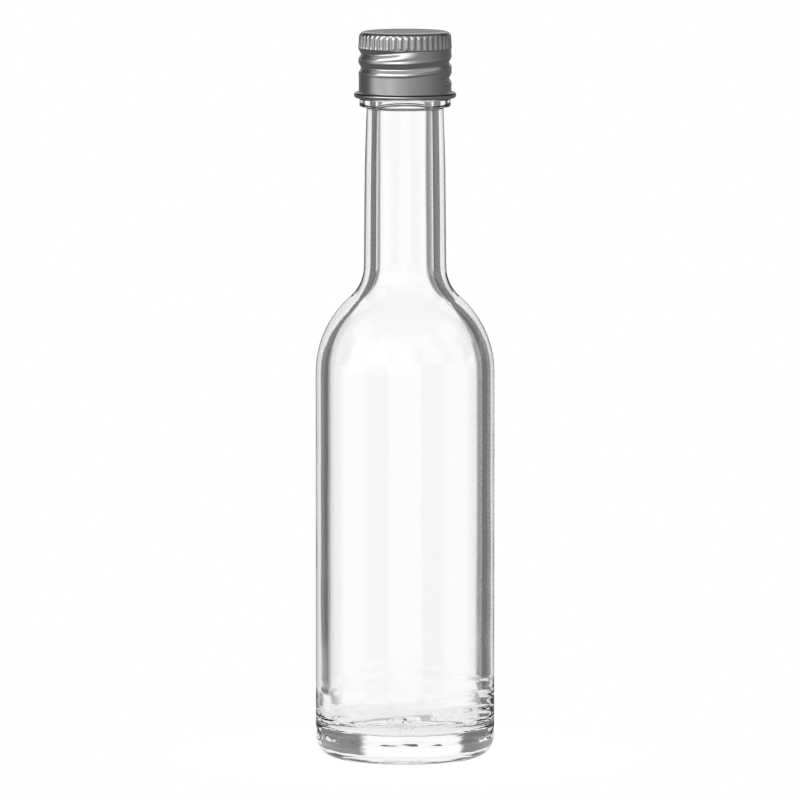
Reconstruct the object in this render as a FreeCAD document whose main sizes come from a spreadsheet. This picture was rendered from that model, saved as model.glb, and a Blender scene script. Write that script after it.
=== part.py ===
"""Miniature clear glass bottle closed by a cap pressed from thin aluminium sheet.

Millimetres. +Z is up, the axis of the bottle is Z and the origin is the middle of its foot.
Three pieces: the moulded glass bottle, the sealing disc on its lip and the cap over both.
"""
import FreeCAD, Part
import math
import os

import Sketcher

SIZES = {
    # glass body and foot
    "body_diameter": 35.2,
    "body_wall": 2.7,
    "heel_radius": 4.2,
    "foot_width": 1.3,
    "foot_edge_radius": 0.6,
    "punt_depth": 1.5,
    "floor_thickness": 5.6,
    "floor_rise": 0.9,
    "floor_corner": 3.0,
    # shoulder
    "shoulder_height": 76.2,
    "shoulder_radius": 19.8,
    "root_radius": 8.0,
    "bore_root_radius": 11.0,
    # neck
    "neck_root_diameter": 16.3,
    "neck_bend_diameter": 15.85,
    "neck_top_diameter": 15.1,
    "neck_length": 31.4,
    "bend_length": 11.4,
    "bore_root_diameter": 10.4,
    "bore_mouth_diameter": 9.8,
    # finish under the cap, and the collar below it
    "finish_diameter": 15.6,
    "finish_height": 13.65,
    "collar_projection": 1.15,
    "collar_slope": 0.55,
    "collar_side": 0.85,
    "collar_edge_radius": 0.3,
    "collar_root_radius": 0.5,
    "lip_radius": 0.8,
    "mouth_radius": 0.5,
    # sealing disc
    "disc_thickness": 1.0,
    "disc_clearance": 0.05,
    # cap
    "cap_sheet": 0.25,
    "thread_room": 1.05,
    "cap_edge_radius": 1.15,
    "flute_band_step": 0.07,
    "flute_band_height": 3.3,
    "flute_count": 43,
    "flute_radius": 0.55,
    "flute_depth": 0.3,
    "flute_length": 3.2,
    "hem_roll": 1.2,
    "hem_sweep": 285.0,
    "hem_clearance": 0.4,
}

doc = FreeCAD.newDocument("bottle_with_cap")
sheet = doc.addObject("Spreadsheet::Sheet", "sizes")
for row, (alias, size) in enumerate(SIZES.items(), start=1):
    sheet.set(f"A{row}", alias)
    sheet.set(f"B{row}", str(size))
    sheet.setAlias(f"B{row}", alias)
doc.recompute()

# Formulas of the sheet that more than one outline or piece uses.
SIDE = "sizes.body_diameter / 2"
FOOT = f"({SIDE} - sizes.heel_radius)"
PUNT_EDGE = f"({FOOT} - sizes.foot_width)"
NECK_ROOT = "sizes.neck_root_diameter / 2"
NECK_TOP = "sizes.neck_top_diameter / 2"
FINISH = "sizes.finish_diameter / 2"
COLLAR = f"({FINISH} + sizes.collar_projection)"
SHOULDER_RUN = f"({NECK_ROOT} + sizes.root_radius + sizes.shoulder_radius - {SIDE})"
SHOULDER_REACH = "(sizes.shoulder_radius + sizes.root_radius)"
NECK_ROOT_HEIGHT = f"(sizes.shoulder_height + sqrt(pow({SHOULDER_REACH}; 2) - pow({SHOULDER_RUN}; 2)))"
COLLAR_HEIGHT = f"({NECK_ROOT_HEIGHT} + sizes.neck_length)"
COLLAR_LOW = f"({COLLAR_HEIGHT} + sizes.collar_slope)"
COLLAR_TOP = f"({COLLAR_LOW} + sizes.collar_side)"
LIP_HEIGHT = f"({COLLAR_HEIGHT} + sizes.finish_height)"
SEAT_HEIGHT = f"({LIP_HEIGHT} + sizes.disc_thickness)"
SKIRT_INSIDE = f"({FINISH} + sizes.thread_room)"
BAND_OUTSIDE = f"({SKIRT_INSIDE} + sizes.cap_sheet + sizes.flute_band_step)"
TOP_FLAT = f"({BAND_OUTSIDE} - sizes.cap_edge_radius)"
HEM_HEIGHT = f"({COLLAR_TOP} + sizes.hem_clearance + sizes.hem_roll / 2 - {SEAT_HEIGHT})"


def value_of(formula):
    """The number that a formula of the sheet gives. A number stands for itself."""
    return float(sheet.evalExpression(formula)) if isinstance(formula, str) else formula


def on_circle(centre, radius, degrees):
    angle = math.radians(degrees)
    return (centre[0] + radius * math.cos(angle), centre[1] + radius * math.sin(angle))


def vector(place):
    return FreeCAD.Vector(place[0], place[1], 0)


class Section:
    """A closed outline in its body's own XZ plane: X is the radius and Y the height.

    Each edge runs from the end of the edge before. A radius or height given as a formula is tied
    to the sheet, and one given as a number is only where the sketch starts to solve from.
    """

    def __init__(self, body, name, radius, height):
        plane = next(item for item in body.Origin.OriginFeatures if item.Role == "XZ_Plane")
        self.sketch = body.newObject("Sketcher::SketchObject", name)
        self.sketch.AttachmentSupport = (plane, [""])
        self.sketch.MapMode = "FlatFace"
        self.last = (value_of(radius), value_of(height))
        self.edges = []

    def rule(self, *parts):
        return self.sketch.addConstraint(Sketcher.Constraint(*parts))

    def tie(self, kind, formula, *geometry):
        number = self.rule(kind, *geometry, value_of(formula))
        self.sketch.setExpression(f"Constraints[{number}]", formula)

    def line(self, radius, height, smooth=False):
        end = (value_of(radius), value_of(height))
        self.add(Part.LineSegment(vector(self.last), vector(end)), radius, height, smooth)

    def arc(self, middle, radius, height, smooth=False, curve=None):
        """An arc through a middle place. Its curve is the formula of its radius, if it has one."""
        end = (value_of(radius), value_of(height))
        index = self.add(Part.Arc(vector(self.last), vector(middle), vector(end)), radius, height, smooth)
        if curve is not None:
            self.tie("Radius", curve, index)
        return index

    def add(self, shape, radius, height, smooth):
        index = self.sketch.addGeometry(shape, False)
        forward = self.sketch.getPoint(index, 1).distanceToPoint(vector(self.last)) < 1e-6
        first, last = (1, 2) if forward else (2, 1)
        self.edges.append((index, first, last, smooth, radius, height))
        self.last = (value_of(radius), value_of(height))
        return index

    def close(self):
        """Joins each edge to the next, the last to the first, and ties the corners to the sheet."""
        for before, after in zip(self.edges, self.edges[1:] + self.edges[:1]):
            kind = "Tangent" if after[3] else "Coincident"
            self.rule(kind, before[0], before[2], after[0], after[1])
        for index, _, last, _, radius, height in self.edges:
            if isinstance(radius, str):
                self.tie("DistanceX", radius, -1, 1, index, last)
            if isinstance(height, str):
                self.tie("DistanceY", height, -1, 1, index, last)
        return self.sketch


def revolve(body, kind, name, sketch, axis="V_Axis"):
    feature = body.newObject(kind, name)
    feature.Profile = sketch
    feature.ReferenceAxis = (sketch, [axis])
    feature.Angle = 360
    doc.recompute()
    return feature


def new_body(name):
    return doc.addObject("PartDesign::Body", name)


# ------------------------------------------------------------------------------ glass bottle


def add_shoulder(section, side, shoulder_curve, neck, root_curve):
    """Two arcs from the top of a straight side in to a neck, tangent to the side and each other."""
    low = value_of("sizes.shoulder_height")
    shoulder_radius = value_of(shoulder_curve)
    root_radius = value_of(root_curve)
    shoulder_centre = (value_of(side) - shoulder_radius, low)
    run = value_of(neck) + root_radius - shoulder_centre[0]
    rise = math.sqrt((shoulder_radius + root_radius) ** 2 - run ** 2)
    slope = math.degrees(math.atan2(rise, run))
    root_centre = (value_of(neck) + root_radius, low + rise)
    shoulder_middle = on_circle(shoulder_centre, shoulder_radius, slope / 2)
    junction = on_circle(shoulder_centre, shoulder_radius, slope)
    section.arc(shoulder_middle, *junction, smooth=True, curve=shoulder_curve)
    root_middle = on_circle(root_centre, root_radius, 180 + slope / 2)
    root = section.arc(root_middle, neck, root_centre[1], smooth=True, curve=root_curve)
    _, _, root_end, *_ = section.edges[-1]
    section.rule("Horizontal", root, 3, root, root_end)


def draw_glass_outside(body):
    """Half section of the outside: punt, foot, heel, side, shoulder, neck, collar, finish, lip."""
    lip = sheet.lip_radius
    neck_bend = "sizes.neck_bend_diameter / 2"
    bend_height = f"{COLLAR_HEIGHT} - sizes.bend_length"

    section = Section(body, "glass_outline", 0, "sizes.punt_depth")
    edge = value_of(PUNT_EDGE)
    punt_radius = (edge ** 2 + sheet.punt_depth ** 2) / (2 * sheet.punt_depth)
    punt_centre = (0, sheet.punt_depth - punt_radius)
    half_way = 90 - math.degrees(math.asin(edge / punt_radius)) / 2
    punt = section.arc(on_circle(punt_centre, punt_radius, half_way), PUNT_EDGE, "0")
    section.rule("PointOnObject", punt, 3, -2)
    section.line(FOOT, "0")
    heel_centre = (value_of(FOOT), sheet.heel_radius)
    section.arc(on_circle(heel_centre, sheet.heel_radius, -45), SIDE, "sizes.heel_radius",
                curve="sizes.heel_radius")
    section.line(SIDE, "sizes.shoulder_height")
    add_shoulder(section, SIDE, "sizes.shoulder_radius", NECK_ROOT, "sizes.root_radius")
    section.line(neck_bend, bend_height)
    lean = (value_of(NECK_ROOT) - value_of(neck_bend)) / (value_of(bend_height) - section.edges[-2][5])
    drop = (value_of(neck_bend) - value_of(NECK_TOP)) / 4 + lean * sheet.bend_length / 4
    section.arc((value_of(neck_bend) - drop, value_of(bend_height) + sheet.bend_length / 2),
                NECK_TOP, COLLAR_HEIGHT, smooth=True)
    section.line(COLLAR, COLLAR_LOW)
    section.line(COLLAR, COLLAR_TOP)
    section.line(FINISH, COLLAR_TOP)
    section.line(FINISH, f"{LIP_HEIGHT} - sizes.lip_radius")
    lip_centre = (value_of(FINISH) - lip, value_of(LIP_HEIGHT) - lip)
    section.arc(on_circle(lip_centre, lip, 45), f"{FINISH} - sizes.lip_radius", LIP_HEIGHT,
                curve="sizes.lip_radius")
    section.line("0", LIP_HEIGHT)
    section.line("0", "sizes.punt_depth")
    return section.close()


def draw_glass_hollow(body):
    """Half section of the hollow: domed floor, side, shoulder, tapering bore and flared mouth."""
    side = f"({SIDE} - sizes.body_wall)"
    floor_edge = f"({side} - sizes.floor_corner)"
    bore_root = "sizes.bore_root_diameter / 2"
    bore = "sizes.bore_mouth_diameter / 2"
    mouth = sheet.mouth_radius

    section = Section(body, "hollow_outline", 0, "sizes.floor_thickness + sizes.floor_rise")
    edge = value_of(floor_edge)
    dome_radius = (edge ** 2 + sheet.floor_rise ** 2) / (2 * sheet.floor_rise)
    dome_centre = (0, sheet.floor_thickness + sheet.floor_rise - dome_radius)
    half_way = 90 - math.degrees(math.asin(edge / dome_radius)) / 2
    floor = section.arc(on_circle(dome_centre, dome_radius, half_way), floor_edge, "sizes.floor_thickness")
    section.rule("PointOnObject", floor, 3, -2)
    corner_centre = (edge, sheet.floor_thickness + sheet.floor_corner)
    section.arc(on_circle(corner_centre, sheet.floor_corner, -45), side,
                "sizes.floor_thickness + sizes.floor_corner", curve="sizes.floor_corner")
    section.line(side, "sizes.shoulder_height")
    add_shoulder(section, side, "sizes.shoulder_radius - sizes.body_wall", bore_root,
                 "sizes.bore_root_radius")
    section.line(bore, f"{LIP_HEIGHT} - sizes.mouth_radius")
    mouth_centre = (value_of(bore) + mouth, value_of(LIP_HEIGHT) - mouth)
    section.arc(on_circle(mouth_centre, mouth, 135), f"{bore} + sizes.mouth_radius", LIP_HEIGHT,
                curve="sizes.mouth_radius")
    section.line(f"{bore} + sizes.mouth_radius", SEAT_HEIGHT)
    section.line("0", SEAT_HEIGHT)
    section.line("0", "sizes.floor_thickness + sizes.floor_rise")
    return section.close()


def rings_at(feature, corners):
    """Names of a turned feature's round edges at the given corners of its outline."""
    places = [(value_of(radius), value_of(height)) for radius, height in corners]
    names = []
    for number, edge in enumerate(feature.Shape.Edges, start=1):
        point = edge.Vertexes[0].Point
        place = (math.hypot(point.x, point.y), point.z)
        if edge.isClosed() and any(math.dist(place, corner) < 1e-4 for corner in places):
            names.append(f"Edge{number}")
    if len(names) != len(corners):
        raise RuntimeError(f"{feature.Name} has {len(names)} of {len(corners)} edges to round")
    return names


def round_rings(body, name, corners, radius):
    base = body.Tip
    fillet = body.newObject("PartDesign::Fillet", name)
    fillet.Base = (base, rings_at(base, corners))
    fillet.setExpression("Radius", radius)
    doc.recompute()


def make_bottle():
    body = new_body("bottle")
    revolve(body, "PartDesign::Revolution", "glass", draw_glass_outside(body))
    collar_edges = [(COLLAR, COLLAR_LOW), (COLLAR, COLLAR_TOP)]
    collar_roots = [(NECK_TOP, COLLAR_HEIGHT), (FINISH, COLLAR_TOP)]
    round_rings(body, "collar_edges", collar_edges, "sizes.collar_edge_radius")
    round_rings(body, "collar_roots", collar_roots, "sizes.collar_root_radius")
    round_rings(body, "foot_edge", [(PUNT_EDGE, "0")], "sizes.foot_edge_radius")
    revolve(body, "PartDesign::Groove", "hollow", draw_glass_hollow(body))
    return body


# ------------------------------------------------------------------------------ sealing disc


def make_disc():
    disc = doc.addObject("Part::Cylinder", "sealing_disc")
    disc.setExpression("Radius", f"{TOP_FLAT} - sizes.disc_clearance")
    disc.setExpression("Height", "sizes.disc_thickness")
    disc.setExpression("Placement.Base.z", LIP_HEIGHT)
    return disc


# ------------------------------------------------------------------------------ cap
# The cap is drawn from the plane where its top rests on the disc. Its sheet is the space between
# an outside and an inside, each a turned solid with the same flutes pressed into it.


def draw_cap_form(body, name, inset):
    """Half section of a filled cap: skirt, band of the flutes, rounded edge and flat top."""
    skirt = f"{SKIRT_INSIDE} + sizes.cap_sheet - {inset}"
    band = f"({BAND_OUTSIDE} - {inset})"
    band_low = "(sizes.cap_sheet - sizes.flute_band_height)"
    edge_radius = f"(sizes.cap_edge_radius - {inset})"
    top = f"sizes.cap_sheet - {inset}"
    edge_low = "sizes.cap_sheet - sizes.cap_edge_radius"

    section = Section(body, name, 0, f"{HEM_HEIGHT} - {inset}")
    section.line(skirt, f"{HEM_HEIGHT} - {inset}")
    section.line(skirt, f"{band_low} - sizes.flute_band_step")
    section.line(band, band_low)
    section.line(band, edge_low)
    edge_centre = (value_of(TOP_FLAT), value_of(edge_low))
    section.arc(on_circle(edge_centre, value_of(edge_radius), 45), TOP_FLAT, top, curve=edge_radius)
    section.line("0", top)
    section.line("0", f"{HEM_HEIGHT} - {inset}")
    return section.close()


def draw_flute(body, name, inset):
    """Half section of one flute's round-ended cutter, about an upright axis outside the band."""
    radius = f"(sizes.flute_radius + {inset})"
    axis = f"({BAND_OUTSIDE} - sizes.flute_depth + sizes.flute_radius)"
    centre_height = "(sizes.cap_sheet - sizes.flute_length + sizes.flute_radius)"
    top = "sizes.cap_sheet + sizes.cap_edge_radius"
    centre = (value_of(axis), value_of(centre_height))

    section = Section(body, name, axis, f"{centre_height} - {radius}")
    section.arc(on_circle(centre, value_of(radius), 225), f"{axis} - {radius}", centre_height, curve=radius)
    section.line(f"{axis} - {radius}", top)
    section.line(axis, top)
    section.line(axis, f"{centre_height} - {radius}")
    sketch = section.close()
    upright, first, last, *_ = section.edges[-1]
    places = [sketch.getPoint(upright, end) for end in (first, last)]
    turning_axis = sketch.addGeometry(Part.LineSegment(*places), True)
    section.rule("Coincident", turning_axis, 1, upright, first)
    section.rule("Coincident", turning_axis, 2, upright, last)
    return sketch


def make_cap_form(name, inset):
    """A filled cap with its flutes, smaller all round by the inset."""
    body = new_body(name)
    revolve(body, "PartDesign::Revolution", f"{name}_turned", draw_cap_form(body, f"{name}_outline", inset))
    sketch = draw_flute(body, f"{name}_flute_outline", inset)
    flute = revolve(body, "PartDesign::Groove", f"{name}_flute", sketch, axis="Axis0")
    pattern = body.newObject("PartDesign::PolarPattern", f"{name}_flutes")
    pattern.Originals = [flute]
    z_axis = next(item for item in body.Origin.OriginFeatures if item.Role == "Z_Axis")
    pattern.Axis = (z_axis, [""])
    pattern.Angle = 360
    pattern.setExpression("Occurrences", "sizes.flute_count")
    body.Tip = pattern
    doc.recompute()
    return body


def make_hem():
    """The skirt's foot, rolled outwards and up until its edge nearly meets the skirt again."""
    body = new_body("hem")
    roll = "sizes.hem_roll / 2"
    inner_roll = "(sizes.hem_roll / 2 - sizes.cap_sheet)"
    turn = "(180 + sizes.hem_sweep)"
    centre_radius = f"({SKIRT_INSIDE} + {roll})"
    centre = (value_of(centre_radius), value_of(HEM_HEIGHT))
    half_way = value_of(turn) - sheet.hem_sweep / 2

    section = Section(body, "hem_outline", SKIRT_INSIDE, HEM_HEIGHT)
    section.arc(on_circle(centre, value_of(roll), half_way),
                f"{centre_radius} + {roll} * cos({turn})", f"{HEM_HEIGHT} + {roll} * sin({turn})",
                curve=roll)
    section.line(f"{centre_radius} + {inner_roll} * cos({turn})",
                 f"{HEM_HEIGHT} + {inner_roll} * sin({turn})")
    section.arc(on_circle(centre, value_of(inner_roll), half_way),
                f"{SKIRT_INSIDE} + sizes.cap_sheet", HEM_HEIGHT, curve=inner_roll)
    section.line(SKIRT_INSIDE, HEM_HEIGHT)
    revolve(body, "PartDesign::Revolution", "hem_turned", section.close())
    return body


def make_cap():
    shell = doc.addObject("Part::Cut", "cap_shell")
    shell.Base = make_cap_form("cap_outside", "0")
    shell.Tool = make_cap_form("cap_inside", "sizes.cap_sheet")
    cap = doc.addObject("Part::Fuse", "cap")
    cap.Base = shell
    cap.Tool = make_hem()
    cap.setExpression("Placement.Base.z", SEAT_HEIGHT)
    return cap


# ------------------------------------------------------------------------------ checks and files


def check_document():
    for item in doc.Objects:
        faults = [state for state in item.State if state in ("Invalid", "Error")]
        if faults:
            raise RuntimeError(f"{item.Name} is {faults}")


def check_piece(piece):
    shape = piece.Shape
    if shape.isNull() or not shape.isValid() or len(shape.Solids) != 1:
        raise RuntimeError(f"{piece.Label} is not one valid solid")


pieces = [make_bottle(), make_disc(), make_cap()]
doc.recompute()
check_document()
os.makedirs("parts", exist_ok=True)
for piece in pieces:
    check_piece(piece)
    piece.Shape.exportStep(f"parts/{piece.Label}.step")
    print(piece.Label, round(piece.Shape.Volume, 1), "mm3", piece.Shape.BoundBox)
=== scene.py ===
"""Looks of a small clear glass bottle with a pressed aluminium screw cap, as a Blender add-on."""
import math

import bpy
from bpy.props import FloatProperty, FloatVectorProperty, IntProperty, PointerProperty
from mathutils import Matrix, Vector


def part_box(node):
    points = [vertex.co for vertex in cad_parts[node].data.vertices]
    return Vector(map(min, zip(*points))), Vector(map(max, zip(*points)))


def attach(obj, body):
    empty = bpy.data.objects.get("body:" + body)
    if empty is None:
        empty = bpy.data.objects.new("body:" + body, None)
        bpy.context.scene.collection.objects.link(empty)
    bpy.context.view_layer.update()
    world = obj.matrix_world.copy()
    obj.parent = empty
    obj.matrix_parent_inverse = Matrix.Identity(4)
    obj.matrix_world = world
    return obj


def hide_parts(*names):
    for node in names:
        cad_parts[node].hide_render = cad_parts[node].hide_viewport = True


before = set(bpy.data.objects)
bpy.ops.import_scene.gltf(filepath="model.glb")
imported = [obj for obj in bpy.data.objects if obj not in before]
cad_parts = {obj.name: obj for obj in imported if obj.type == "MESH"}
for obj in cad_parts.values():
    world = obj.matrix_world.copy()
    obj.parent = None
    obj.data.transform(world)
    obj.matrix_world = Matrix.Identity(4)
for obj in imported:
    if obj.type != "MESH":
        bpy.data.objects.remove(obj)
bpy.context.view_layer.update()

bl_info = {
    "name": "Glass bottle with metal cap",
    "version": (1, 0, 0),
    "blender": (4, 5, 0),
    "location": "3D View > Sidebar > Bottle",
    "description": "Models a small glass bottle, its aluminium screw cap and its studio",
    "category": "Object",
}

GLASS_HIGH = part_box("bottle")[1]
CAP_LOW, CAP_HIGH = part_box("cap")
MM = 0.001

GLASS_STEPS = 192  # faces round the glass
FLUTE_STEPS = 10  # faces round the cap for each flute
HEM_STEPS = 18  # faces along the hem's roll
FULL_TURN = 360  # degrees

# Distances between the points along the outlines, small where a shape is pressed in later.
PLAIN_ROW = 1.6 * MM
HEEL_ROW = 0.4 * MM
FLOOR_ROW = 0.35 * MM
FINISH_ROW = 0.22 * MM
CAP_TOP_ROW = 3 * MM
BAND_ROW = 0.18 * MM
BAND_STEP_ROW = 0.2 * MM
GROOVE_ROW = 0.19 * MM
SKIRT_ROW = 0.5 * MM

# Middle of the cap's rolled groove: degrees round from +X and millimetres below the cap's top.
GROOVE = [(-60, 9.35), (0, 9.14), (90, 8.2), (180, 7.14), (270, 7.05), (360, 5.99), (450, 5.2), (540, 4.44),
          (590, 4.28), (660, 3.3)]
GROOVE_START = (-60, 10)  # degrees in which the groove sinks in
GROOVE_END = (600, 655)  # degrees in which it runs out
GROOVE_FOOT = 10.4 * MM  # plain skirt starts this far below the cap's top
SKIRT_TOLERANCE = (-0.02 * MM, 0.1 * MM)  # what counts as the skirt's face, round its radius

# The glass thread under the groove.
THREAD_START = (-40, -10)
THREAD_END = (500, 540)
THREAD_DROP = 1.5 * MM  # how far it lies under the groove
THREAD_HALF_WIDTH = 0.95 * MM

LEDGE = 0.02 * MM  # height of the sharp ledge at a flute's foot

# Unevenness of the glass, in millimetres where nothing else is said.
THINNING = 0.35  # how far the blown hollow goes beyond its outline
NECK_LEAN = 0.12  # how much the neck's wall differs from one side to the other
WAVE_HEIGHT = (0.01, 0.17)  # low waves on the left side, and what the right side has more
WAVE_PITCH = 0.5  # rise of a wave in one radian
WAVE_SLANT = 2.2  # how far the waves wander round the wall, in radians
WAVE_FADE = (10 * MM, 17 * MM)  # heights between which they die out, in metres
FLOOR_FADE = 8 * MM  # the unevenness grows to its full size over this height above the floor
NECK_FADE = 24 * MM  # and the neck's lean over this height above the straight side
RIPPLE_GRAIN = 16 * MM
HEEL_GRAIN = 2.4 * MM

# Rings on the inside floor: height, radius, share of the wander and width, in millimetres.
FLOOR_RINGS = [(0.5, 0, 0, 1.0), (-0.2, 2.6, 0.4, 0.7), (0.16, 8.6, 1, 0.5), (-0.12, 10.4, 1, 0.5)]
MARK_REACH = (3.8, 5.5)  # half width and half depth of the rough mark
MARK_FORWARD = 3  # how far the one under the foot lies in front of the axis
MARK_HEIGHT = 0.32
FLOOR_MARK_HEIGHT = 0.1  # of the one in the middle of the inside floor


def length(label, text, size_mm, **options):
    """A length property whose default is given in millimetres."""
    return FloatProperty(name=label, description=text, default=size_mm * MM, unit="LENGTH",
                         precision=5, **options)


class GlassSizes(bpy.types.PropertyGroup):
    """Sizes of the moulded glass that the frame's box doesn't give."""

    wall: length("Body wall", "Mean thickness of the body's wall", 2.7)
    heel: length("Heel radius", "Rounding between the side and the foot", 4.2)
    foot: length("Foot width", "Width of the flat ring that the bottle stands on", 1.3)
    punt: length("Punt depth", "Depth of the hollow under the foot", 1.5)
    floor: length("Floor thickness", "Height of the inside floor at its edge", 5.6)
    floor_rise: length("Floor rise", "How far the middle of the floor stands above its edge", 0.9)
    floor_corner: length("Floor corner", "Rounding between the floor and the inside wall", 3.0)
    shoulder_height: length("Shoulder height", "Where the straight side ends", 76.2)
    shoulder: length("Shoulder radius", "Outward curve of the shoulder", 19.8)
    root: length("Neck root radius", "Inward curve from the shoulder to the neck", 8.0)
    bore_root: length("Bore root radius", "The same curve on the inside", 11.0)
    neck_root: length("Neck root diameter", "Neck above the shoulder", 16.3)
    neck_bend: length("Neck bend diameter", "Neck where it starts to narrow", 15.85)
    neck_top: length("Neck top diameter", "Neck under the collar", 15.1)
    neck_length: length("Neck length", "From the shoulder's curve to the collar", 31.4)
    bend_length: length("Bend length", "Upper stretch of the neck that narrows", 11.4)
    bore_low: length("Bore at the root", "Bore diameter above the shoulder", 10.4)
    bore_mouth: length("Bore at the mouth", "Bore diameter at the lip", 9.8)
    finish: length("Finish diameter", "Wall under the thread", 15.6)
    collar: length("Collar projection", "How far the collar stands out of the finish", 1.15)
    collar_slope: length("Collar slope", "Height of the collar's sloping underside", 0.15)
    collar_side: length("Collar side", "Height of the collar's upright side", 1.58)
    lip: length("Lip radius", "Outer rounding of the lip", 0.8)
    mouth: length("Mouth radius", "Inner rounding of the lip", 0.5)
    thread_height: length("Thread height", "How far the glass thread stands out", 0.65)
    ripple: length("Ripple", "Unevenness of the inside wall", 0.03)
    heel_ripple: length("Heel ripple", "Unevenness of the heel and the lower side", 0.05)


class CapSizes(bpy.types.PropertyGroup):
    """Sizes of the pressed sheet cap that the frame's box doesn't give."""

    sheet: length("Sheet", "Thickness of the aluminium", 0.25)
    skirt: length("Skirt diameter", "Outside of the plain skirt", 18.2)
    edge: length("Edge radius", "Rounding between the top and the side", 1.15)
    band_step: length("Band step", "How far the fluted band stands out of the skirt", 0.07)
    band_lean: length("Band lean", "How far the band leans in at its top", 0.16)
    band_height: length("Band height", "Height of the fluted band with the edge", 3.3)
    flutes: IntProperty(name="Flutes", description="Grip flutes round the cap", default=43, min=8)
    flute_radius: length("Flute radius", "Rounding of each flute's section", 0.46)
    flute_depth: length("Flute depth", "Depth of each flute", 0.34)
    flute_length: length("Flute length", "From the top face to the flutes' feet", 3.2)
    thread_depth: length("Thread depth", "Depth of the rolled groove", 0.52)
    thread_width: length("Thread width", "Width of the rolled groove", 1.6)
    thread_swell: length("Thread swell", "How far the sheet bulges beside the groove", 0.07)
    hem: length("Hem roll", "Diameter of the rolled hem", 1.2)
    hem_sweep: FloatProperty(name="Hem sweep", description="How far the hem is rolled round",
                             default=math.radians(285), subtype="ANGLE")


class FinishSettings(bpy.types.PropertyGroup):
    """Colours of the glass, the aluminium and the foam."""

    glass: FloatVectorProperty(name="Glass colour", description="Tint of the clear glass",
                               default=(1.0, 1.0, 1.0), min=0, max=1, subtype="COLOR")
    bending: FloatProperty(name="Glass refraction", description="How strongly the glass bends light",
                           default=1.52, min=1)
    metal: FloatProperty(name="Metal brightness", description="How much light the aluminium sends back",
                         default=0.74, min=0, max=1, subtype="FACTOR")
    foam: FloatVectorProperty(name="Foam colour", description="Colour of the sealing disc",
                              default=(0.86, 0.86, 0.85), min=0, max=1, subtype="COLOR")


class StudioSettings(bpy.types.PropertyGroup):
    """Camera and light round the bottle."""

    distance: length("Distance", "From the camera to the bottle's axis", 2100.0)
    height: length("Height", "Camera height above the floor", 280.0)
    aim_height: length("Aim height", "Height that the camera looks at", 70.64)
    aside: length("Aside", "Sideways place of the camera and its aim", -1.0)
    lens: FloatProperty(name="Lens", description="Focal length in millimetres", default=482.2)


# ------------------------------------------------------------------------------ shared steps


def deselect_everything():
    if bpy.context.object is not None and bpy.context.object.mode != "OBJECT":
        bpy.ops.object.mode_set(mode="OBJECT")
    bpy.ops.object.select_all(action="DESELECT")


def rounded_outline(corners, arc_step=math.radians(6), line_step=PLAIN_ROW, first_step=None):
    """A dense outline through corners given as (radius, height, rounding)."""
    points = [Vector(corners[0][:2])]
    straight_step = first_step or line_step
    for before, corner, after in zip(corners, corners[1:], corners[2:]):
        place = Vector(corner[:2])
        inward = (Vector(before[:2]) - place).normalized()
        outward = (Vector(after[:2]) - place).normalized()
        turn = math.pi - inward.angle(outward)
        if corner[2] <= 0 or turn < 1e-4:
            stretch(points, place, straight_step)
            straight_step = line_step
            continue
        reach = corner[2] * math.tan(turn / 2)
        start, end = place + inward * reach, place + outward * reach
        centre = place + (inward + outward).normalized() * (corner[2] / math.cos(turn / 2))
        stretch(points, start, straight_step)
        straight_step = line_step
        steps = max(2, math.ceil(turn / arc_step))
        first = start - centre
        sense = 1 if first.x * (end - centre).y - first.y * (end - centre).x > 0 else -1
        for step in range(1, steps + 1):
            angle = sense * turn * step / steps
            cosine, sine = math.cos(angle), math.sin(angle)
            points.append(centre + Vector((first.x * cosine - first.y * sine,
                                           first.x * sine + first.y * cosine)))
    stretch(points, Vector(corners[-1][:2]), line_step)
    return points


def stretch(points, end, line_step):
    """Carries an outline straight on to a place, with a point every step."""
    start = points[-1]
    run = end - start
    if run.length < 1e-7:
        return
    steps = max(1, round(run.length / line_step))
    points.extend(start + run * step / steps for step in range(1, steps + 1))


def turned_piece(name, outline, steps):
    """Extrudes one corner of a plane along an outline and spins it round the bottle's axis."""
    deselect_everything()
    start = outline[0]
    bpy.ops.mesh.primitive_plane_add(size=MM, location=(start.x, 0, start.y))
    piece = bpy.context.object
    piece.name = piece.data.name = name
    bpy.ops.object.transform_apply(location=True, rotation=True, scale=True)
    bpy.ops.object.mode_set(mode="EDIT")
    bpy.ops.mesh.select_all(action="SELECT")
    bpy.ops.mesh.merge(type="CENTER")
    for here, there in zip(outline, outline[1:]):
        step = there - here
        bpy.ops.mesh.extrude_vertices_move(TRANSFORM_OT_translate={"value": (step.x, 0, step.y)})
    bpy.ops.mesh.select_all(action="SELECT")
    bpy.ops.mesh.spin(steps=steps, angle=2 * math.pi, center=(0, 0, 0), axis=(0, 0, 1))
    bpy.ops.mesh.select_all(action="SELECT")
    bpy.ops.mesh.remove_doubles(threshold=1e-6)
    bpy.ops.mesh.normals_make_consistent(inside=False)
    bpy.ops.object.mode_set(mode="OBJECT")
    bpy.ops.object.shade_smooth()
    return piece


def weigh(piece, name, weight):
    """A vertex group whose weight at each vertex comes from a function of its place."""
    group = piece.vertex_groups.new(name=name)
    for vertex in piece.data.vertices:
        amount = weight(vertex.co)
        if amount > 0:
            group.add([vertex.index], amount, "REPLACE")
    return group


def apply_modifier(piece, kind, **settings):
    modifier = piece.modifiers.new(kind.title(), kind)
    for setting, value in settings.items():
        setattr(modifier, setting, value)
    deselect_everything()
    piece.select_set(True)
    bpy.context.view_layer.objects.active = piece
    bpy.ops.object.modifier_apply(modifier=modifier.name)


def give_material(piece, material):
    piece.data.materials.clear()
    piece.data.materials.append(material)


def finish_piece(piece, node, material):
    give_material(piece, material)
    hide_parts(node)
    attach(piece, "root")


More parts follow.
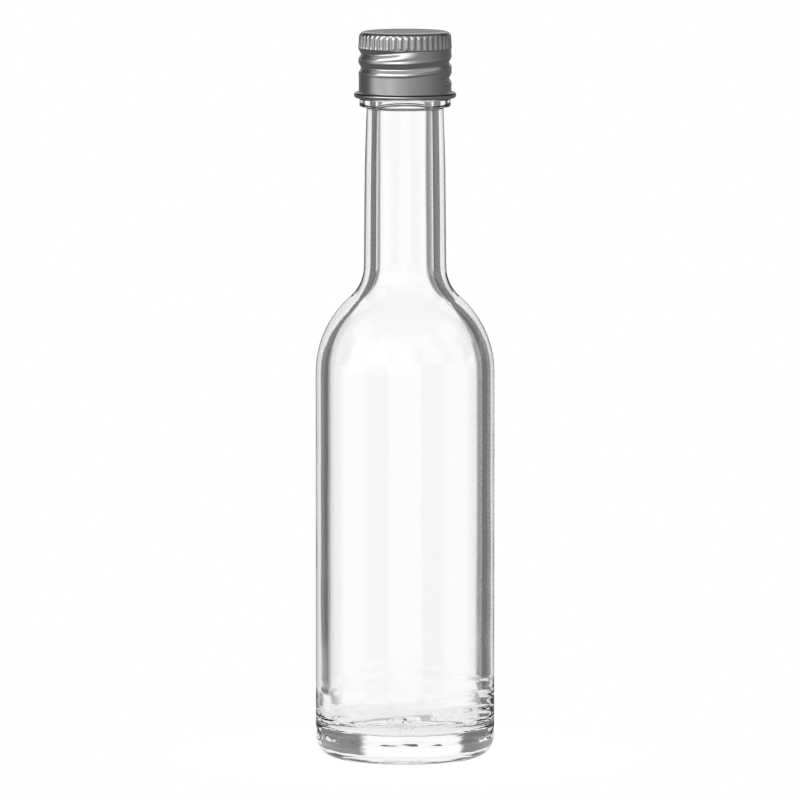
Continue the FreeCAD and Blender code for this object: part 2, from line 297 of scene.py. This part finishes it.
def move_out(vertex, distance):
    """Moves a vertex away from the bottle's axis."""
    radius = math.hypot(vertex.co.x, vertex.co.y)
    vertex.co.x *= (radius + distance) / radius
    vertex.co.y *= (radius + distance) / radius


def smooth_step(low, high, value):
    share = min(1, max(0, (value - low) / (high - low)))
    return share * share * (3 - 2 * share)


# ------------------------------------------------------------------------------ materials


def new_material(name):
    material = bpy.data.materials.new(name)
    material.use_nodes = True
    return material, material.node_tree, material.node_tree.nodes["Principled BSDF"]


def add_noise(tree, scale, detail=2.0, stretch_by=(1, 1, 1)):
    """Noise on the piece's own coordinates. Scale counts its features in a metre."""
    coordinates = tree.nodes.new("ShaderNodeTexCoord")
    mapping = tree.nodes.new("ShaderNodeMapping")
    mapping.inputs["Scale"].default_value = stretch_by
    noise = tree.nodes.new("ShaderNodeTexNoise")
    noise.inputs["Scale"].default_value = scale
    noise.inputs["Detail"].default_value = detail
    tree.links.new(coordinates.outputs["Object"], mapping.inputs["Vector"])
    tree.links.new(mapping.outputs["Vector"], noise.inputs["Vector"])
    return noise.outputs["Fac"]


def add_math(tree, operation, *values):
    node = tree.nodes.new("ShaderNodeMath")
    node.operation = operation
    for socket, value in zip(node.inputs, values):
        if isinstance(value, (int, float)):
            socket.default_value = value
        else:
            tree.links.new(value, socket)
    return node.outputs["Value"]


def add_range(tree, value, low, high):
    spread = tree.nodes.new("ShaderNodeMapRange")
    spread.inputs["To Min"].default_value = low
    spread.inputs["To Max"].default_value = high
    tree.links.new(value, spread.inputs["Value"])
    return spread.outputs["Result"]


def add_fade(tree, value, low, high):
    """Smooth change from 0 at low to 1 at high, or the other way round when high is the smaller."""
    fade = tree.nodes.new("ShaderNodeMapRange")
    fade.interpolation_type = "SMOOTHSTEP"
    fade.inputs["From Min"].default_value = low
    fade.inputs["From Max"].default_value = high
    tree.links.new(value, fade.inputs["Value"])
    return fade.outputs["Result"]


def add_shade(tree, height, low, high, least):
    """Painted shade as a factor: 1 outside a band of heights and least in its middle, with soft borders."""
    border = 0.12 * MM
    within = add_math(tree, "MULTIPLY", add_fade(tree, height, low, low + border),
                      add_fade(tree, height, high, high - border))
    return add_range(tree, within, 1, least)


def add_bump(tree, shader, height, distance):
    bump = tree.nodes.new("ShaderNodeBump")
    bump.inputs["Distance"].default_value = distance
    tree.links.new(height, bump.inputs["Height"])
    tree.links.new(bump.outputs["Normal"], shader.inputs["Normal"])


def clear_glass(finish):
    material, tree, shader = new_material("clear_glass")
    shader.inputs["Base Color"].default_value = (*finish.glass, 1)
    shader.inputs["Transmission Weight"].default_value = 1
    shader.inputs["IOR"].default_value = finish.bending
    shader.inputs["Roughness"].default_value = 0
    ripple = add_noise(tree, 90, 1.0, (1, 1, 0.35))
    add_bump(tree, shader, ripple, 0.04 * MM)
    return material


def cap_metal(finish):
    """Rolled aluminium, satin on the skirt and the top and burnished where the flutes are pressed.

    Its colour carries painted shade: darker in the crease over the hem and in the fold round the top.
    """
    material, tree, shader = new_material("cap_metal")
    shader.inputs["Metallic"].default_value = 1
    satin = add_range(tree, add_noise(tree, 700, 3.0, (1, 1, 0.12)), 0.14, 0.22)
    coordinates = tree.nodes.new("ShaderNodeTexCoord")
    split = tree.nodes.new("ShaderNodeSeparateXYZ")
    tree.links.new(coordinates.outputs["Object"], split.inputs["Vector"])
    height = split.outputs["Z"]
    band = tree.nodes.new("ShaderNodeMapRange")
    band.inputs["From Min"].default_value = CAP_HIGH.z - 3.6 * MM
    band.inputs["From Max"].default_value = CAP_HIGH.z - 3.2 * MM
    band.inputs["To Min"].default_value = 1
    band.inputs["To Max"].default_value = 0.6
    tree.links.new(height, band.inputs["Value"])
    tree.links.new(add_math(tree, "MULTIPLY", satin, band.outputs["Result"]), shader.inputs["Roughness"])
    # painted shade: a dark band over the hem's crease and a dark ring in the fold round the top
    painted_crease_shade = add_shade(tree, height, CAP_LOW.z + 0.7 * MM, CAP_LOW.z + 1.18 * MM, 0.08)
    painted_fold_shade = add_shade(tree, height, CAP_HIGH.z - 0.52 * MM, CAP_HIGH.z - 0.04 * MM, 0.18)
    metal_with_painted_shade = add_math(tree, "MULTIPLY", add_math(tree, "MULTIPLY", painted_crease_shade, painted_fold_shade), finish.metal)
    tree.links.new(metal_with_painted_shade, shader.inputs["Base Color"])
    return material


def disc_foam(finish):
    material, tree, shader = new_material("disc_foam")
    shader.inputs["Base Color"].default_value = (*finish.foam, 1)
    cells = add_noise(tree, 2500, 2.0)
    tree.links.new(add_range(tree, cells, 0.6, 0.8), shader.inputs["Roughness"])
    add_bump(tree, shader, cells, 0.05 * MM)
    return material


# ------------------------------------------------------------------------------ glass


def shoulder_corners(side, shoulder, neck, root, start):
    """The two corners whose roundings make the shoulder and the neck's root, tangent to each other."""
    slope = math.acos((neck + root - side + shoulder) / (shoulder + root))
    low = start + shoulder * math.tan(slope / 2)
    end = start + (shoulder + root) * math.sin(slope)
    return [(side, low, shoulder), (neck, end - root * math.tan(slope / 2), root)], end


def shallow_dome(edge, edge_height, rise, steps=36):
    """Points of a shallow spherical cap from the axis out to its edge."""
    radius = (edge ** 2 + rise ** 2) / (2 * rise)
    centre = edge_height + rise - radius
    points = []
    for step in range(steps + 1):
        distance = edge * step / steps
        points.append((distance, centre + math.sqrt(radius ** 2 - distance ** 2), 0))
    return points


def glass_outline(sizes):
    """Outline from under the foot, up the outside, over the lip and down the hollow to the floor."""
    side = GLASS_HIGH.x
    top = GLASS_HIGH.z
    foot_outer = side - sizes.heel
    foot_inner = foot_outer - sizes.foot
    shoulder, neck_start = shoulder_corners(side, sizes.shoulder, sizes.neck_root / 2, sizes.root,
                                            sizes.shoulder_height)
    collar_low = neck_start + sizes.neck_length
    finish = sizes.finish / 2
    collar = finish + sizes.collar
    collar_top = collar_low + sizes.collar_slope + sizes.collar_side
    thread_low = (finish, collar_top + 1 * MM, 0)
    thread_high = (finish, top - 2 * MM, 0)
    outside = shallow_dome(foot_inner, 0, sizes.punt)
    outside[-1] = (foot_inner, 0, 0.6 * MM)
    outside += [(side, 0, sizes.heel), (side, sizes.floor + 8 * MM, 0)]
    above_heel = [
        *shoulder,
        (sizes.neck_bend / 2, collar_low - sizes.bend_length, 60 * MM),
        (sizes.neck_top / 2, collar_low, 0.5 * MM),
        (collar, collar_low + sizes.collar_slope, 0.25 * MM),
        (collar, collar_top, 0.2 * MM),
        (finish, collar_top, 0.5 * MM),
        thread_low,
    ]
    outside += above_heel
    inner = side - sizes.wall
    bore_shoulder, _ = shoulder_corners(inner, sizes.shoulder - sizes.wall, sizes.bore_low / 2,
                                        sizes.bore_root, sizes.shoulder_height)
    floor = shallow_dome(inner - sizes.floor_corner, sizes.floor, sizes.floor_rise)
    inside = [thread_high, (finish, top, sizes.lip), (sizes.bore_mouth / 2, top, sizes.mouth),
              *reversed(bore_shoulder), (inner, sizes.floor + 12 * MM, 0)]
    outline = rounded_outline(outside[:-len(above_heel)], line_step=HEEL_ROW)
    outline += rounded_outline([outside[-len(above_heel) - 1], *above_heel])[1:]
    stretch(outline, Vector(thread_high[:2]), FINISH_ROW)
    outline += rounded_outline(inside)[1:]
    return outline + rounded_outline([inside[-1], (inner, sizes.floor, sizes.floor_corner), *reversed(floor)],
                                     line_step=FLOOR_ROW)[1:]


def raise_thread(piece, sizes):
    """Raises the glass thread on the finish, half a turn's height under the cap's groove."""
    finish = sizes.finish / 2
    for vertex in piece.data.vertices:
        place = vertex.co
        radius = math.hypot(place.x, place.y)
        if place.z < CAP_LOW.z or abs(radius - finish) > 0.01 * MM:
            continue
        rise = 0
        for degrees, height in groove_passes(place):
            fade = smooth_step(*THREAD_START, degrees) * (1 - smooth_step(*THREAD_END, degrees))
            away = abs(place.z - height + THREAD_DROP) / THREAD_HALF_WIDTH
            if away < 1:
                rise = max(rise, fade * sizes.thread_height * math.cos(math.pi / 2 * away))
        move_out(vertex, rise)


class BOTTLE_OT_make_glass(bpy.types.Operator):
    """Turn the glass bottle and give its hollow the unevenness of moulded glass"""

    bl_idname = "bottle.make_glass"
    bl_label = "Glass bottle"

    def execute(self, context):
        sizes = context.scene.bottle_glass
        piece = turned_piece("glass_bottle", glass_outline(sizes), GLASS_STEPS)
        raise_thread(piece, sizes)
        blow_hollow(piece, sizes)
        mark_base(piece, sizes)
        give_ripple(piece, sizes)
        finish_piece(piece, "bottle", clear_glass(context.scene.bottle_finish))
        return {"FINISHED"}


def hollow_share(place, sizes):
    """1 on the wall of the hollow, 0 on the outside, the finish and the inside floor."""
    radius = math.hypot(place.x, place.y)
    finish_low, fade_low, fade_high = CAP_LOW.z - 2 * MM, CAP_LOW.z + 1 * MM, CAP_LOW.z + 6 * MM
    if place.z < sizes.floor or place.z > fade_high:
        return 0
    if place.z > finish_low:
        return 1 - smooth_step(fade_low, fade_high, place.z) if radius < sizes.bore_low / 2 else 0
    if place.z < sizes.shoulder_height:
        floor_edge = GLASS_HIGH.x - sizes.wall - sizes.floor_corner
        inside = floor_edge < radius < GLASS_HIGH.x - sizes.wall / 2
    else:
        inside = radius < outside_radius(place.z, sizes) - 1 * MM
    return smooth_step(sizes.floor, sizes.floor + FLOOR_FADE, place.z) if inside else 0


def blow_hollow(piece, sizes):
    """Makes the hollow a little wider, lopsided in the neck and wavy low down, as blown glass is."""
    for vertex in piece.data.vertices:
        place = vertex.co
        share = hollow_share(place, sizes)
        if share == 0:
            continue
        bearing = math.atan2(place.y, place.x)
        left = 0.5 - 0.5 * math.cos(bearing)
        neck = smooth_step(sizes.shoulder_height, sizes.shoulder_height + NECK_FADE, place.z)
        low = 1 - smooth_step(*WAVE_FADE, place.z)
        wave = math.sin(place.z / (WAVE_PITCH * MM) + WAVE_SLANT * math.sin(bearing * 2))
        thin = THINNING + neck * NECK_LEAN * (left - 0.5)
        thin += low * (WAVE_HEIGHT[0] + WAVE_HEIGHT[1] * (1 - left) ** 3) * wave
        move_out(vertex, share * thin * MM)


def mark_base(piece, sizes):
    """Presses rings and a rough mark into the inside floor and a rough mark under the foot."""
    inner = GLASS_HIGH.x - sizes.wall
    foot_inner = GLASS_HIGH.x - sizes.heel - sizes.foot
    for vertex in piece.data.vertices:
        place = vertex.co
        radius = math.hypot(place.x, place.y)
        across, along = place.x / MM, place.y / MM
        if place.z < sizes.punt + 0.1 * MM and radius < foot_inner - 0.8 * MM:
            lift = MARK_HEIGHT * grain_at(across, along)
        elif sizes.floor - 0.1 * MM < place.z < sizes.floor + 2 * MM and radius < inner - 0.5 * MM:
            bearing = math.atan2(place.y, place.x)
            wander = 0.5 * math.sin(bearing * 2 + 0.6) + 0.25 * math.sin(bearing * 5)
            lift = sum(height * bump_at(radius, middle + share * wander, width)
                       for height, middle, share, width in FLOOR_RINGS)
            lift += FLOOR_MARK_HEIGHT * grain_at(across, along - MARK_FORWARD)
        else:
            continue
        vertex.co.z += lift * MM


def grain_at(across, along):
    """Rough patch in front of the middle, up to 1 high, with its places in millimetres."""
    share = max(0, 1 - math.hypot(across / MARK_REACH[0], (along + MARK_FORWARD) / MARK_REACH[1]) ** 4)
    return share * math.sin(across * 4.1 + along * 1.3) * math.sin(along * 3.7 - across * 0.9 + 1)


def bump_at(radius, middle, width):
    """Bell-shaped ring round the axis, with its middle and width in millimetres."""
    return math.exp(-((radius / MM - middle) / width) ** 2)


def give_ripple(piece, sizes):
    """Makes the hollow and the heel gently uneven, as moulded glass is."""
    hollow = weigh(piece, "hollow", lambda place: hollow_share(place, sizes))
    heel = weigh(piece, "heel", lambda place: heel_share(place, sizes))
    for group, grain, height in ((hollow, RIPPLE_GRAIN, sizes.ripple), (heel, HEEL_GRAIN, sizes.heel_ripple)):
        texture = bpy.data.textures.new(group.name, "CLOUDS")
        texture.noise_scale = grain
        texture.noise_depth = 1
        apply_modifier(piece, "DISPLACE", texture=texture, texture_coords="LOCAL",
                       vertex_group=group.name, strength=height * 2, mid_level=0.5)


def heel_share(place, sizes):
    """1 round the heel and the lower side, 0 on the foot and on the inside floor."""
    radius = math.hypot(place.x, place.y)
    fade_high = sizes.floor + 6 * MM
    if place.z > fade_high:
        return 0
    above_floor = place.z > sizes.floor - 0.1 * MM
    if above_floor and radius < GLASS_HIGH.x - sizes.wall - 1 * MM:
        return 0
    if not above_floor and radius < GLASS_HIGH.x - sizes.heel + 0.1 * MM:
        return 0
    return smooth_step(1 * MM, 3 * MM, place.z) * (1 - smooth_step(sizes.floor, fade_high, place.z))


def outside_radius(height, sizes):
    """Radius of the bottle's outside above the straight side."""
    side, neck = GLASS_HIGH.x, sizes.neck_top / 2
    rise = height - sizes.shoulder_height
    drop = math.sqrt(max(0, sizes.shoulder ** 2 - rise ** 2)) if rise < sizes.shoulder else 0
    return max(neck, side - sizes.shoulder + drop)


class BOTTLE_OT_make_cap(bpy.types.Operator):
    """Turn the cap's sheet, press its flutes and thread, and roll its hem"""

    bl_idname = "bottle.make_cap"
    bl_label = "Screw cap"

    def execute(self, context):
        sizes = context.scene.bottle_cap
        piece = turned_piece("screw_cap", cap_outline(sizes), sizes.flutes * FLUTE_STEPS)
        press_flutes(piece, sizes)
        press_thread(piece, sizes)
        apply_modifier(piece, "SOLIDIFY", thickness=sizes.sheet, offset=-1)
        finish_piece(piece, "cap", cap_metal(context.scene.bottle_finish))
        return {"FINISHED"}


def cap_outline(sizes):
    """Outer face of the sheet: top, edge, fluted band, skirt and the inner side of the rolled hem."""
    top = CAP_HIGH.z
    skirt = sizes.skirt / 2
    band = skirt + sizes.band_step
    band_low = top - sizes.band_height
    band_top = band - sizes.band_lean
    roll = sizes.hem / 2 - sizes.sheet
    hem_centre = Vector((skirt + roll, CAP_LOW.z + sizes.hem / 2))
    foot = top - sizes.flute_length
    outline = rounded_outline([(0, top, 0), (band_top, top, sizes.edge), (band, foot + 2 * LEDGE, 0)],
                              math.radians(9), BAND_ROW, first_step=CAP_TOP_ROW)
    outline += [Vector((band, height)) for height in (foot + LEDGE, foot, foot - LEDGE, band_low)]
    stretch(outline, Vector((skirt, band_low - sizes.band_step)), BAND_STEP_ROW)
    stretch(outline, Vector((skirt, top - GROOVE_FOOT)), GROOVE_ROW)
    stretch(outline, Vector((skirt, hem_centre.y)), SKIRT_ROW)
    for step in range(1, HEM_STEPS + 1):
        angle = math.pi + sizes.hem_sweep * step / HEM_STEPS
        outline.append(hem_centre + roll * Vector((math.cos(angle), math.sin(angle))))
    return outline


def press_flutes(piece, sizes):
    """Sinks a round-bottomed flute at every pitch of the band, down to a sharp ledge at its foot."""
    band = sizes.skirt / 2 + sizes.band_step
    foot = CAP_HIGH.z - sizes.flute_length
    pitch = 2 * math.pi / sizes.flutes
    axis = band - sizes.flute_depth + sizes.flute_radius
    for vertex in piece.data.vertices:
        place = vertex.co
        radius = math.hypot(place.x, place.y)
        if place.z < foot + LEDGE / 2 or radius < band - sizes.edge:
            continue
        aside = abs((math.atan2(place.y, place.x) + pitch / 2) % pitch - pitch / 2)
        across = axis * math.sin(aside)
        if across >= sizes.flute_radius:
            continue
        bottom = axis * math.cos(aside) - math.sqrt(sizes.flute_radius ** 2 - across ** 2)
        if bottom < radius:
            move_out(vertex, bottom - radius)


def groove_height(degrees):
    """Height of the groove's middle at a bearing that counts its turns, or None past its ends."""
    for (start, low), (end, high) in zip(GROOVE, GROOVE[1:]):
        if start <= degrees <= end:
            return CAP_HIGH.z - (low + (high - low) * (degrees - start) / (end - start)) * MM
    return None


def groove_passes(place):
    """Every pass of the groove at a place's bearing, as the degrees of its turn and its height."""
    bearing = math.degrees(math.atan2(place.y, place.x))
    for turn in range(-1, 3):
        degrees = bearing + FULL_TURN * turn
        height = groove_height(degrees)
        if height is not None:
            yield degrees, height


def press_thread(piece, sizes):
    """Rolls in the helical groove, which sinks gently at its start and runs out at its end."""
    half = sizes.thread_width / 2
    skirt = sizes.skirt / 2
    band_low = CAP_HIGH.z - sizes.band_height
    for vertex in piece.data.vertices:
        place = vertex.co
        radius = math.hypot(place.x, place.y)
        if not skirt + SKIRT_TOLERANCE[0] < radius < skirt + SKIRT_TOLERANCE[1]:
            continue
        sink = 0
        for degrees, height in groove_passes(place):
            fade = smooth_step(*GROOVE_START, degrees) * (1 - smooth_step(*GROOVE_END, degrees))
            away = abs(place.z - height) / half
            if away < 0.98:
                sink += fade * sizes.thread_depth * (1 - math.sqrt(away ** 2 + 0.02))
            elif 1 < away < 2:
                sink -= fade * sizes.thread_swell * math.sin(math.pi * (away - 1)) ** 2
        if place.z > band_low:
            sink *= smooth_step(band_low + 0.5 * MM, band_low, place.z)
        move_out(vertex, -sink)


class BOTTLE_OT_finish_disc(bpy.types.Operator):
    """Give the sealing disc its foam"""

    bl_idname = "bottle.finish_disc"
    bl_label = "Sealing disc"

    def execute(self, context):
        give_material(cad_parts["sealing_disc"], disc_foam(context.scene.bottle_finish))
        return {"FINISHED"}


# ------------------------------------------------------------------------------ studio


FLOOR_RADIUS = 0.048
FLOOR_GLOW = 1.0
FLOOR_GLOW_SEEN = 1.2  # the same for the camera
GLOW_SHARE = 0.8  # the rest of the floor is matt and takes the bottle's shadow


def add_floor():
    deselect_everything()
    bpy.ops.mesh.primitive_circle_add(vertices=96, radius=FLOOR_RADIUS, fill_type="NGON", location=(0, 0, 0))
    floor = bpy.context.object
    floor.name = "floor"
    material = bpy.data.materials.new("floor_white")
    material.use_nodes = True
    tree = material.node_tree
    tree.nodes.clear()
    output = tree.nodes.new("ShaderNodeOutputMaterial")
    mix = tree.nodes.new("ShaderNodeMixShader")
    diffuse = tree.nodes.new("ShaderNodeBsdfDiffuse")
    glow = tree.nodes.new("ShaderNodeEmission")
    diffuse.inputs["Color"].default_value = (1, 1, 1, 1)
    glow.inputs["Color"].default_value = (1, 1, 1, 1)
    path = tree.nodes.new("ShaderNodeLightPath")
    strength = add_range(tree, path.outputs["Is Camera Ray"], FLOOR_GLOW, FLOOR_GLOW_SEEN)
    tree.links.new(strength, glow.inputs["Strength"])
    mix.inputs["Fac"].default_value = GLOW_SHARE
    tree.links.new(diffuse.outputs["BSDF"], mix.inputs[1])
    tree.links.new(glow.outputs["Emission"], mix.inputs[2])
    tree.links.new(mix.outputs["Shader"], output.inputs["Surface"])
    give_material(floor, material)


# Brightness of the surroundings by bearing: 0 is behind the bottle and positive bearings lie to its right.
# The THROUGH ones are what shows through the glass, from far below the horizon to far above it. Their
# dark strips give the glass its side bands.
THROUGH_UNDER = [(-180, 0.97), (180, 0.97)]
THROUGH_AROUND = [
    (-180, 1.0), (-170, 1.0), (-158, 0.25), (-146, 1.0), (-124, 1.0), (-112, 0.25), (-100, 1.0),
    (-80, 1.0), (-68, 0.25), (-56, 1.0), (-34, 1.0), (-22, 0.25), (-10, 1.0),
    (10, 1.0), (22, 0.25), (34, 1.0), (56, 1.0), (68, 0.25), (80, 1.0),
    (100, 1.0), (112, 0.25), (124, 1.0), (146, 1.0), (158, 0.25), (170, 1.0), (180, 1.0)]
THROUGH_LOW = [
    (-180, 0.97), (-156, 0.97), (-152, 0.4), (-124, 0.4), (-120, 0.97),
    (-60, 0.97), (-56, 0.4), (-32, 0.4), (-28, 0.97), (22, 0.97), (26, 0.24), (56, 0.24), (60, 0.97),
    (120, 0.97), (124, 0.3), (152, 0.3), (156, 0.97), (180, 0.97)]
THROUGH = [
    (-180, 1.0), (-158, 1.0), (-154, 0.5), (-122, 0.5), (-118, 1.0),
    (-64, 1.0), (-60, 0.15), (-27, 0.17), (-23, 1.0), (16, 1.0), (20, 0.2), (60, 0.17), (64, 1.0),
    (118, 1.0), (122, 0.5), (154, 0.5), (158, 1.0), (180, 1.0)]
THROUGH_LEVEL = [
    (-180, 1.0), (-158, 1.0), (-154, 0.17), (-122, 0.17), (-118, 1.0),
    (-96, 1.0), (-90, 0.17), (-30, 0.17), (-27, 1.0), (18, 1.0), (22, 0.22), (64, 0.22), (68, 1.0),
    (118, 1.0), (122, 0.5), (154, 0.5), (158, 1.0), (180, 1.0)]
THROUGH_HIGH = [
    (-180, 0.9), (-96, 0.9), (-90, 0.16), (-32, 0.16), (-29, 1.0),
    (20, 1.0), (23, 0.16), (80, 0.14), (86, 0.9), (180, 0.9)]
THROUGH_RING = [(-180, 0.9), (-100, 0.9), (-90, 0.15), (90, 0.15), (100, 0.9), (180, 0.9)]
THROUGH_TOP = [
    (-180, 0.95), (-132, 0.95), (-130, 0.2), (-110, 0.2), (-108, 0.95),
    (-72, 0.95), (-70, 0.2), (-50, 0.2), (-48, 0.95), (52, 0.95), (54, 0.2), (72, 0.2), (74, 0.95),
    (108, 0.95), (110, 0.2), (130, 0.2), (132, 0.95), (180, 0.95)]
THROUGH_ZENITH = [(-180, 0.3), (-90, 0.12), (90, 0.12), (180, 0.3)]
# The others are what the metal and the glass mirror: the ground, the table, the room and the lamps.
UNDERNEATH = [(-180, 0.12), (180, 0.12)]
TABLE = [
    (-180, 0.36), (-160, 0.42), (-146, 0.58), (-136, 0.58), (-128, 0.5), (-112, 0.55), (-102, 0.58),
    (-90, 0.4), (-78, 0.15), (-64, 0.1), (-40, 0.1), (-20, 0.2), (20, 0.2), (40, 0.12), (62, 0.12),
    (86, 0.15), (107, 0.19), (120, 0.24), (150, 0.3), (180, 0.36)]
ROOM = [
    (-180, 1.0), (-165, 1.4), (-110, 1.4), (-90, 0.5), (-64, 0.13), (-20, 0.27), (20, 0.27), (64, 0.14),
    (107, 0.2), (150, 0.35), (180, 1.0)]
LAMPS = [
    (-180, 1.2), (-165, 1.7), (-110, 1.7), (-96, 0.3), (-60, 0.08), (-30, 0.08), (-18, 0.6), (18, 0.6),
    (30, 0.1), (60, 0.1), (100, 0.2), (140, 0.3), (165, 0.6), (180, 1.2)]
CEILING = 0.42
CEILING_FADE = (0.5, 0.66)
MATT_LIGHT = 0.75  # what matt faces are lit with, from all round

# Layers from below upwards, each with the band of rise where the next one takes over. Rise is the
# sine of the angle above the horizon.
MIRRORED_LAYERS = [(UNDERNEATH, -0.3, -0.16), (TABLE, 0.0, 0.06), (ROOM, 0.08, 0.17), (LAMPS,)]
THROUGH_LAYERS = [
    (THROUGH_UNDER, -0.5, -0.35), (THROUGH_AROUND, -0.165, -0.15), (THROUGH_LOW, -0.142, -0.116),
    (THROUGH, 0.035, 0.055), (THROUGH_LEVEL, 0.15, 0.19), (THROUGH_HIGH, 0.37, 0.39),
    (THROUGH_RING, 0.5, 0.52), (THROUGH_TOP, 0.74, 0.8), (THROUGH_ZENITH,)]


def add_ramp(tree, share, stops_by_bearing):
    """Brightness from stops by bearing, with share the part of a full turn from -180 degrees on."""
    ramp = tree.nodes.new("ShaderNodeValToRGB")
    stops = ramp.color_ramp.elements
    while len(stops) > 1:
        stops.remove(stops[-1])
    for number, (degrees, bright) in enumerate(stops_by_bearing):
        position = degrees / FULL_TURN + 0.5
        stop = stops[0] if number == 0 else stops.new(position)
        stop.position = position
        stop.color = (bright, bright, bright, 1)
    tree.links.new(share, ramp.inputs["Fac"])
    return ramp.outputs["Color"]


def add_mix(tree, factor, first, second):
    """Mix of two colours, each a socket or a brightness."""
    mix = tree.nodes.new("ShaderNodeMix")
    mix.data_type = "RGBA"
    for socket, value in ((mix.inputs["Factor"], factor), (mix.inputs[6], first), (mix.inputs[7], second)):
        if isinstance(value, bpy.types.NodeSocket):
            tree.links.new(value, socket)
        else:
            socket.default_value = (value, value, value, 1)
    return mix.outputs[2]


def add_layers(tree, share, rise, layers):
    """Surroundings made of layers of stops, each mixed over the one below it."""
    seen = add_ramp(tree, share, layers[0][0])
    for (_, low, high), (stops, *_) in zip(layers, layers[1:]):
        seen = add_mix(tree, add_fade(tree, rise, low, high), seen, add_ramp(tree, share, stops))
    return seen


def add_world():
    world = bpy.data.worlds.new("studio")
    bpy.context.scene.world = world
    world.use_nodes = True
    tree = world.node_tree
    coordinates = tree.nodes.new("ShaderNodeTexCoord")
    split = tree.nodes.new("ShaderNodeSeparateXYZ")
    tree.links.new(coordinates.outputs["Generated"], split.inputs["Vector"])
    bearing = add_math(tree, "ARCTAN2", split.outputs["X"], split.outputs["Y"])
    share = add_math(tree, "MULTIPLY_ADD", bearing, 1 / (2 * math.pi), 0.5)
    rise = split.outputs["Z"]
    mirrored = add_layers(tree, share, rise, MIRRORED_LAYERS)
    mirrored = add_mix(tree, add_fade(tree, rise, *CEILING_FADE), mirrored, CEILING)
    through = add_layers(tree, share, rise, THROUGH_LAYERS)
    path = tree.nodes.new("ShaderNodeLightPath")
    seen = add_mix(tree, path.outputs["Is Transmission Ray"], mirrored, through)
    lit = add_mix(tree, path.outputs["Is Diffuse Ray"], seen, MATT_LIGHT)
    white = add_mix(tree, path.outputs["Is Camera Ray"], lit, 1.0)
    tree.links.new(white, tree.nodes["Background"].inputs["Color"])


def add_camera(studio):
    place = Vector((studio.aside, -studio.distance, studio.height))
    aim = Vector((studio.aside, 0, studio.aim_height))
    bpy.ops.object.camera_add(location=place, rotation=(aim - place).to_track_quat("-Z", "Y").to_euler())
    camera = bpy.context.object
    camera.data.lens = studio.lens
    camera.data.clip_start = 0.05
    camera.data.clip_end = 100
    bpy.context.scene.camera = camera


class BOTTLE_OT_make_stage(bpy.types.Operator):
    """Set up the white floor, the surroundings and the camera"""

    bl_idname = "bottle.make_stage"
    bl_label = "Studio"

    def execute(self, context):
        add_floor()
        add_world()
        add_camera(context.scene.bottle_studio)
        context.scene.view_settings.view_transform = "Standard"
        return {"FINISHED"}


class BOTTLE_PT_panel(bpy.types.Panel):
    """The bottle's steps and sizes"""

    bl_idname = "BOTTLE_PT_panel"
    bl_label = "Bottle"
    bl_space_type = "VIEW_3D"
    bl_region_type = "UI"
    bl_category = "Bottle"

    def draw(self, context):
        layout = self.layout
        for step in STEPS:
            layout.operator(step.bl_idname)
        for group_name, group in SETTINGS.items():
            column = layout.column(align=True)
            for name in group.__annotations__:
                column.prop(getattr(context.scene, group_name), name)


STEPS = (BOTTLE_OT_make_glass, BOTTLE_OT_make_cap, BOTTLE_OT_finish_disc, BOTTLE_OT_make_stage)
SETTINGS = {"bottle_glass": GlassSizes, "bottle_cap": CapSizes, "bottle_finish": FinishSettings,
            "bottle_studio": StudioSettings}


def register():
    for item in (*SETTINGS.values(), *STEPS, BOTTLE_PT_panel):
        bpy.utils.register_class(item)
    for name, group in SETTINGS.items():
        setattr(bpy.types.Scene, name, PointerProperty(type=group))


def unregister():
    for name in SETTINGS:
        delattr(bpy.types.Scene, name)
    for item in (BOTTLE_PT_panel, *reversed(STEPS), *SETTINGS.values()):
        bpy.utils.unregister_class(item)


def main():
    register()
    bpy.ops.bottle.make_glass()
    bpy.ops.bottle.make_cap()
    bpy.ops.bottle.finish_disc()
    bpy.ops.bottle.make_stage()


if __name__ == "__main__":
    main()
